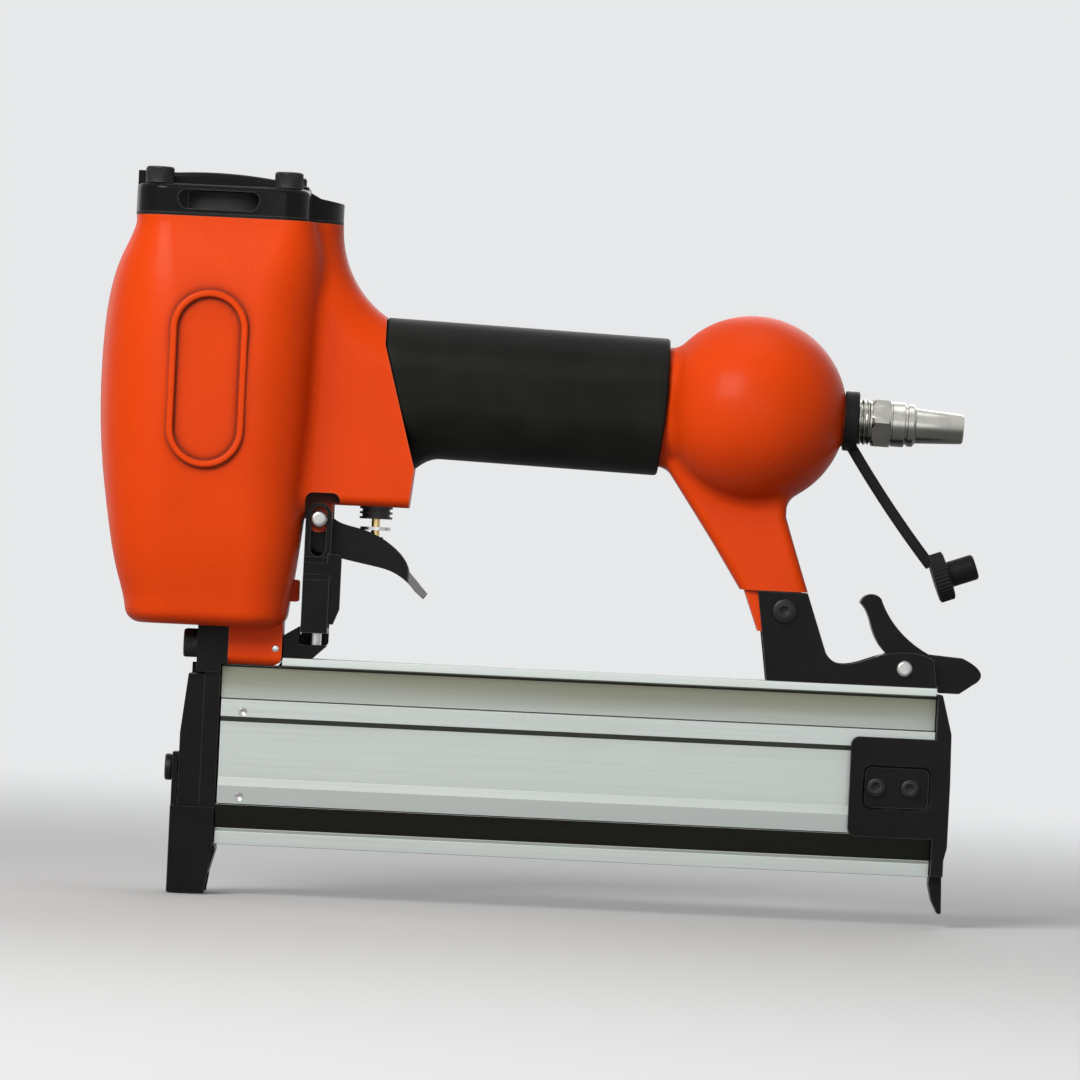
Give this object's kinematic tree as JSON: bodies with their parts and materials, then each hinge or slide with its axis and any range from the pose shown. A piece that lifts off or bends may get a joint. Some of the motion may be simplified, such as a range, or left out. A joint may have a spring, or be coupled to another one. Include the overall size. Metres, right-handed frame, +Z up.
{
  "type": "pneumatic brad nailer",
  "caption": "Hand-held pneumatic nailer with a cast barrel and ball-ended air handle, rubber grip, slide-open straight magazine, trigger and sprung contact foot.",
  "frame": {"origin": "under the driver blade, level with the sole of the contact foot, where a nail leaves the tool", "axes": "+Z up along the driver, +X to the rear of the tool along the magazine, +Y to the far side"},
  "size_m": [0.2683, 0.0646, 0.217],
  "materials": {
    "casting_paint": "orange-red satin paint over a cast alloy body",
    "grip_rubber": "matte black moulded rubber",
    "cap_enamel": "gloss black enamel over a cast alloy cap",
    "black_steel": "satin black coated steel",
    "black_screws": "black oxide socket screws",
    "magazine_aluminium": "brushed extrusion, clear anodised",
    "machined_aluminium": "machined",
    "bright_steel": "ground steel",
    "spring_steel": "drawn spring wire",
    "pin_chrome": "bright plated",
    "plug_nickel": "nickel plated, lightly worn",
    "stem_brass": "turned brass",
    "valve_plastic": "moulded black acetal",
    "muffler_plastic": "porous sintered ring",
    "seal_rubber": "black nitrile",
    "bumper_rubber": "amber urethane"
  },
  "bodies": {
    "body": {"body_casting": "casting_paint", "grip_sleeve": "grip_rubber", "cylinder_cap": "cap_enamel", "driver_guide": "black_steel", "guide_cover": "black_steel", "safety_base": "black_steel", "rear_bracket": "black_steel", "cap_screws": "black_screws", "guide_cover_screws": "black_screws", "nose_screws": "black_screws", "foot_screw": "black_screws", "magazine_screws": "black_screws", "bracket_screw": "black_screws", "bracket_nut": "black_screws", "bracket_magazine_screws": "black_screws", "fixed_magazine": "magazine_aluminium", "cylinder_sleeve": "machined_aluminium", "safety_post": "bright_steel", "trigger_pin_clip": "bright_steel", "head_valve_spring": "spring_steel", "safety_spring": "spring_steel", "valve_spring": "spring_steel", "latch_spring": "spring_steel", "trigger_pin": "pin_chrome", "latch_pin": "pin_chrome", "air_plug": "plug_nickel", "trigger_valve_body": "valve_plastic", "exhaust_muffler": "muffler_plastic", "cap_gasket": "seal_rubber", "cylinder_o_ring": "seal_rubber", "valve_o_rings": "seal_rubber", "bumper": "bumper_rubber"},
    "head_valve": {"head_valve": "valve_plastic", "head_valve_o_ring": "seal_rubber"},
    "piston": {"piston": "machined_aluminium", "piston_o_ring": "seal_rubber", "driver_blade": "bright_steel", "driver_pin": "bright_steel"},
    "valve_stem": {"valve_stem": "stem_brass", "stem_o_ring": "seal_rubber", "stem_clip": "bright_steel"},
    "trigger": {"trigger": "black_steel", "trip_lever": "black_steel"},
    "safety": {"contact_foot": "black_steel", "safety_link": "black_steel", "safety_yoke": "black_steel"},
    "moving_magazine": {"magazine_cover": "magazine_aluminium", "tail_plate": "black_steel", "tail_screws": "black_screws", "pusher_rod": "bright_steel", "pusher_spring": "spring_steel"},
    "pusher": {"pusher": "valve_plastic"},
    "latch": {"latch": "black_steel"},
    "dust_cap": {"dust_cap": "seal_rubber"}
  },
  "joints": [
    {"name": "trigger_pivot", "type": "hinge", "parent": "body", "child": "trigger", "pos_m": [0.0328, 0, 0.1139], "axis": [0, -1, 0], "range_deg": [0, 7], "stiffness_Nm_per_rad": 0.3, "springref_deg": -11.46},
    {"name": "stem_slide", "type": "slide", "parent": "body", "child": "valve_stem", "axis": [0, 0, 1], "range_m": [0, 0.0021], "deforming": ["valve_spring"]},
    {"name": "safety_slide", "type": "slide", "parent": "body", "child": "safety", "axis": [0, 0, 1], "range_m": [0, 0.006], "stiffness_N_per_m": 1500, "springref_m": -0.016, "deforming": ["safety_spring"]},
    {"name": "piston_stroke", "type": "slide", "parent": "body", "child": "piston", "axis": [0, 0, -1], "range_m": [0, 0.0625]},
    {"name": "head_valve_lift", "type": "slide", "parent": "body", "child": "head_valve", "axis": [0, 0, 1], "range_m": [0, 0.0035], "stiffness_N_per_m": 300, "springref_m": -0.01, "deforming": ["head_valve_spring"]},
    {"name": "magazine_slide", "type": "slide", "parent": "body", "child": "moving_magazine", "axis": [1, 0, 0], "range_m": [0, 0.15]},
    {"name": "pusher_slide", "type": "slide", "parent": "moving_magazine", "child": "pusher", "axis": [1, 0, 0], "range_m": [0, 0.15], "stiffness_N_per_m": 30, "springref_m": -0.15, "deforming": ["pusher_spring"]},
    {"name": "latch_pivot", "type": "hinge", "parent": "body", "child": "latch", "pos_m": [0.2104, 0, 0.0772], "axis": [0, -1, 0], "range_deg": [0, 20], "stiffness_Nm_per_rad": 0.3, "springref_deg": -17.19, "deforming": ["latch_spring"]},
    {"name": "dust_cap_swivel", "type": "hinge", "parent": "body", "child": "dust_cap", "pos_m": [0.19199, 0, 0.15084], "axis": [0.9996, 0, -0.0279], "range_deg": [-75, 75]}
  ],
  "couplings": [
    {"joint": "stem_slide", "follows": "trigger_pivot", "m_per_rad": 0.0168}
  ]
}
